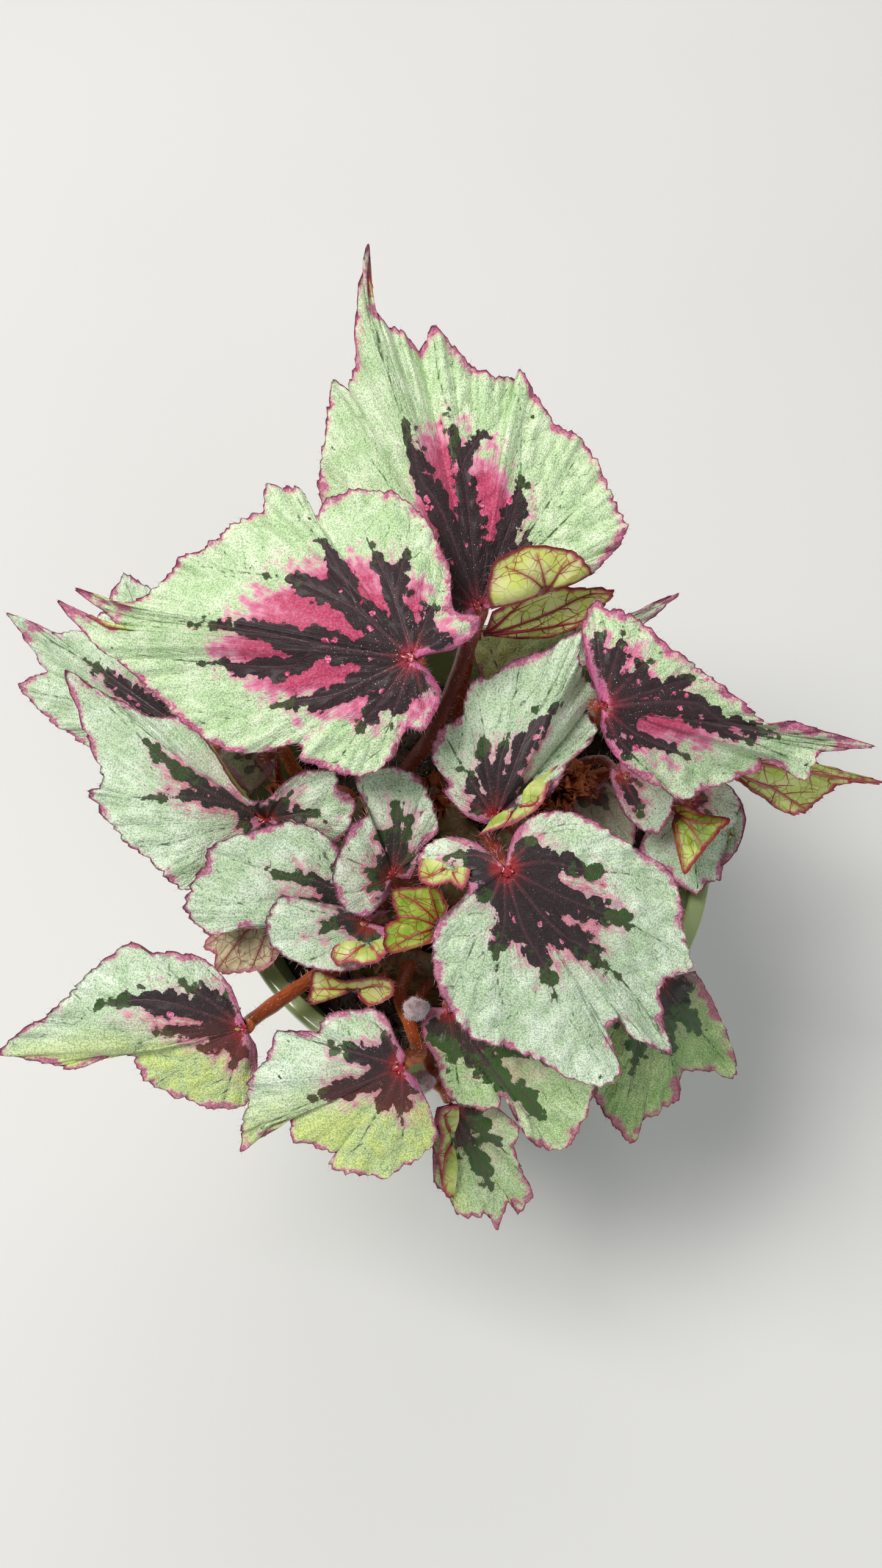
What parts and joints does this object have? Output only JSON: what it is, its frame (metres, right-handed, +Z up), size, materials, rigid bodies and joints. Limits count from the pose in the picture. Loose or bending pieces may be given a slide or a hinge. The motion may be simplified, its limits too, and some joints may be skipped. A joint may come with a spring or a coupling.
{
  "type": "potted rex begonia",
  "caption": "Rex begonia with silver and dark patterned leaves on fleshy stalks in a round plastic nursery pot.",
  "frame": {"origin": "middle of the flat underside of the pot", "axes": "+Z up, +X to the right and +Y away in the reference view"},
  "size_m": [0.2688, 0.2474, 0.2387],
  "materials": {
    "pot_plastic": "smooth moulded, slightly see-through olive green",
    "peat": null,
    "rhizome_skin": "scaly brown rhizome",
    "bud_felt": null,
    "leaf_pink": null,
    "leaf_silver": null,
    "leaf_underside": null,
    "stalk_red": null,
    "stalk_orange": null
  },
  "bodies": {
    "root": {"pot": "pot_plastic", "soil": "peat", "rhizome": "rhizome_skin", "bud_front": "bud_felt", "bud_low": "bud_felt", "bud_centre": "bud_felt", "blade_back_tall": "leaf_pink", "stalk_back_tall": "stalk_red", "blade_back_folded": "leaf_underside", "stalk_back_folded": "stalk_red", "blade_back_grey": "leaf_silver", "stalk_back_grey": "stalk_red", "blade_left_large": "leaf_pink", "stalk_left_large": "stalk_red", "blade_left_pale": "leaf_silver", "stalk_left_pale": "stalk_red", "blade_far_left": "leaf_silver", "stalk_far_left": "stalk_orange", "blade_left_low": "leaf_silver", "stalk_left_low": "stalk_red", "blade_right_large": "leaf_pink", "stalk_right_large": "stalk_red", "blade_far_right": "leaf_silver", "stalk_far_right": "stalk_orange", "blade_right_small": "leaf_silver", "stalk_right_small": "stalk_red", "blade_right_silver": "leaf_silver", "stalk_right_silver": "stalk_red", "blade_right_turned": "leaf_underside", "stalk_right_turned": "stalk_red", "blade_right_low": "leaf_silver", "stalk_right_low": "stalk_red", "blade_mid_right": "leaf_silver", "stalk_mid_right": "stalk_red", "blade_centre": "leaf_silver", "stalk_centre": "stalk_red", "blade_centre_left": "leaf_silver", "stalk_centre_left": "stalk_red", "blade_centre_low": "leaf_silver", "stalk_centre_low": "stalk_red", "blade_centre_turned": "leaf_underside", "stalk_centre_turned": "stalk_red", "blade_left_turned": "leaf_underside", "stalk_left_turned": "stalk_red", "blade_front_right": "leaf_silver", "stalk_front_right": "stalk_red", "blade_lower_left": "leaf_silver", "stalk_lower_left": "stalk_orange", "blade_lower_front": "leaf_silver", "stalk_lower_front": "stalk_orange", "blade_under_front": "leaf_silver", "stalk_under_front": "stalk_red", "blade_hanging": "leaf_silver", "stalk_hanging": "stalk_orange", "blade_lower_right": "leaf_silver", "stalk_lower_right": "stalk_red", "blade_front_small": "leaf_underside", "stalk_front_small": "stalk_orange"}
  },
  "joints": []
}
